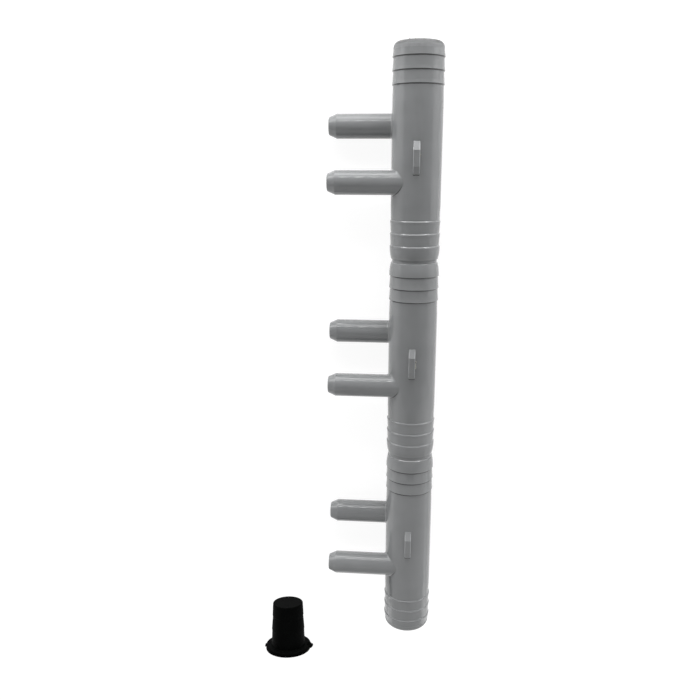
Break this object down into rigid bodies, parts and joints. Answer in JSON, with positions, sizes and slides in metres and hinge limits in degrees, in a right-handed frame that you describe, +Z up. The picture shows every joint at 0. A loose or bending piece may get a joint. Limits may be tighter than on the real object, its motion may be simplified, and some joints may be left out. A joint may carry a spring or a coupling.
{
  "type": "hose manifold",
  "caption": "Moulded plastic air or water manifold: a long tube with barbed ends and joints and smooth side spigots for small tubes, with a tapered rubber end plug beside it.",
  "frame": {"origin": "on the axis of the main bore, at half the strip's length", "axes": "+Y along the strip's bore, +Z up as the strip lies on the floor, spigots pointing along -X and slightly down"},
  "size_m": [0.081, 0.285, 0.0239],
  "materials": {
    "grey_plastic": "semi-gloss moulded neutral grey plastic",
    "black_rubber": "soft matt black moulded rubber"
  },
  "bodies": {
    "root": {"manifold": "grey_plastic", "end_plug": "black_rubber"}
  },
  "joints": []
}
